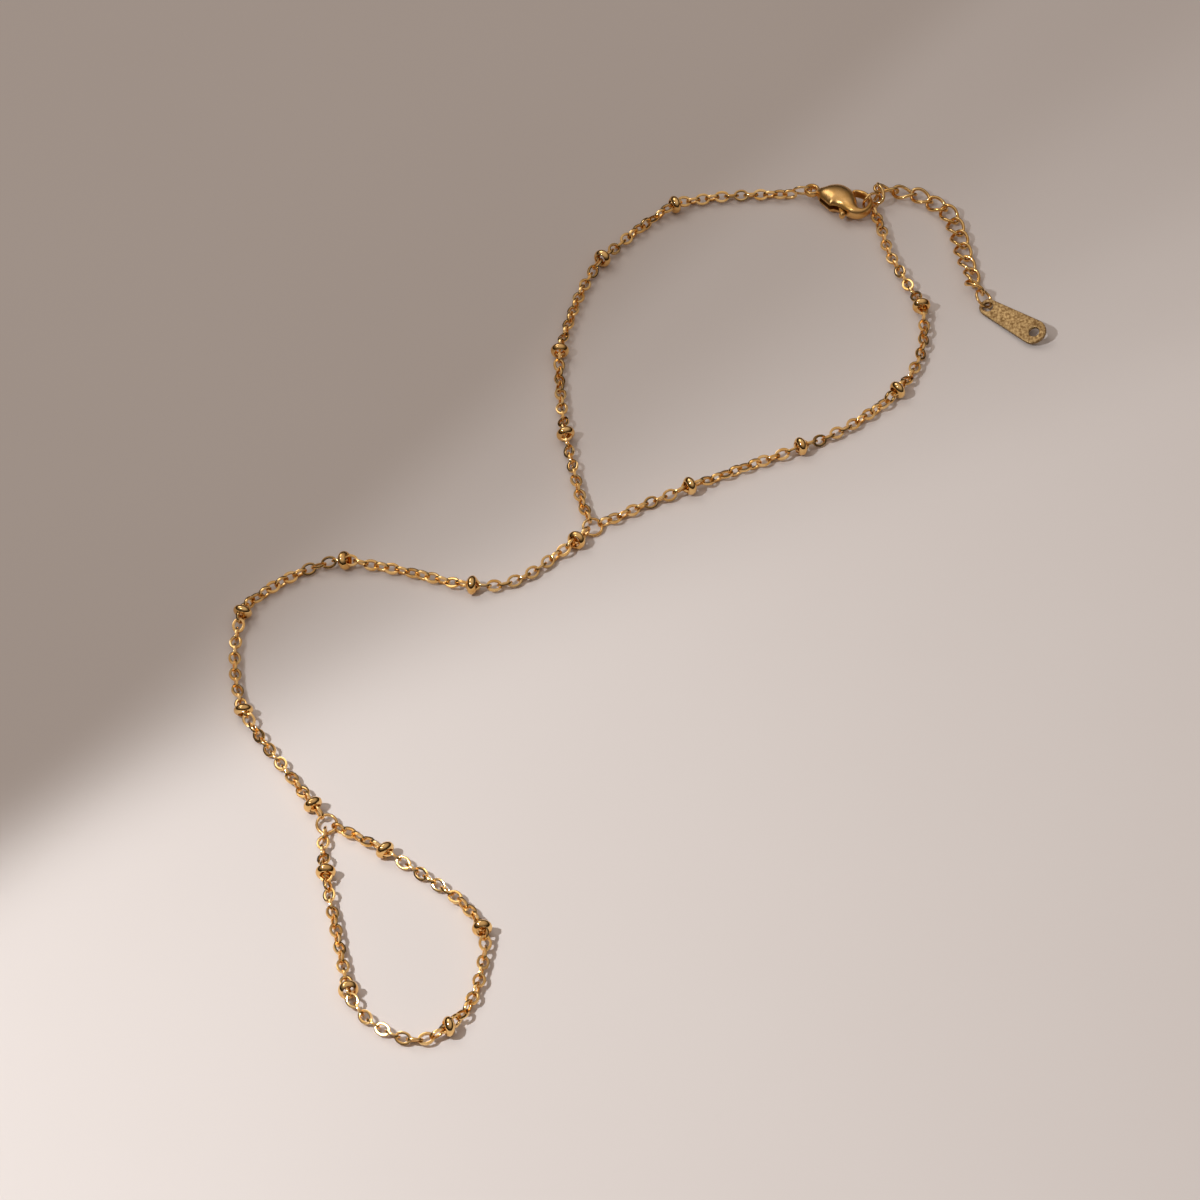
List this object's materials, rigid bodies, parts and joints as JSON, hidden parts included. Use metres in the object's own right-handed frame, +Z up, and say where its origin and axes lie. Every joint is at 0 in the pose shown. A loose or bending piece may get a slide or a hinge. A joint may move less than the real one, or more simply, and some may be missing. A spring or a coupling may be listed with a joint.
{
  "type": "hand chain bracelet with finger loop",
  "caption": "A fine gold hand chain with small rondelle beads, a wrist loop with a lobster clasp, a finger loop and an extender chain ending in a small tag.",
  "frame": {"origin": "on the floor under the middle of the laid chain", "axes": "+X is to the right as the chain lies, from the hand strand to the extender; +Y is the longest way, from the finger loop to the clasp; +Z is up from the floor, the thin way"},
  "size_m": [0.1012, 0.1424, 0.0028],
  "materials": {
    "polished_gold": "polished gold plate",
    "tag_gold": "finely textured gold plate"
  },
  "bodies": {
    "root": {"wrist_chain_left": "polished_gold", "wrist_chain_right": "polished_gold", "hand_chain": "polished_gold", "finger_chain": "polished_gold", "wrist_bead_1": "polished_gold", "wrist_bead_2": "polished_gold", "wrist_bead_3": "polished_gold", "wrist_bead_4": "polished_gold", "wrist_bead_5": "polished_gold", "wrist_bead_6": "polished_gold", "wrist_bead_7": "polished_gold", "wrist_bead_8": "polished_gold", "hand_bead_1": "polished_gold", "hand_bead_2": "polished_gold", "hand_bead_3": "polished_gold", "hand_bead_4": "polished_gold", "hand_bead_5": "polished_gold", "hand_bead_6": "polished_gold", "finger_bead_1": "polished_gold", "finger_bead_2": "polished_gold", "finger_bead_3": "polished_gold", "finger_bead_4": "polished_gold", "finger_bead_5": "polished_gold", "wrist_junction_ring": "polished_gold", "finger_junction_ring": "polished_gold", "catch_ring": "polished_gold", "tag_ring": "polished_gold", "clasp_end_link": "polished_gold", "extender_link_1": "polished_gold", "extender_link_2": "polished_gold", "extender_link_3": "polished_gold", "extender_link_4": "polished_gold", "extender_link_5": "polished_gold", "extender_link_6": "polished_gold", "extender_link_7": "polished_gold", "extender_link_8": "polished_gold", "extender_link_9": "polished_gold", "extender_link_10": "polished_gold", "extender_link_11": "polished_gold", "extender_link_12": "polished_gold", "clasp_body": "polished_gold", "tag": "tag_gold"},
    "lever": {"clasp_lever": "polished_gold"}
  },
  "joints": [
    {"name": "clasp_lever_hinge", "type": "hinge", "parent": "root", "child": "lever", "pos_m": [0.02505, 0.06769, 0.0014], "axis": [0, 0, -1], "range_deg": [0, 22], "stiffness_Nm_per_rad": 0.003}
  ]
}
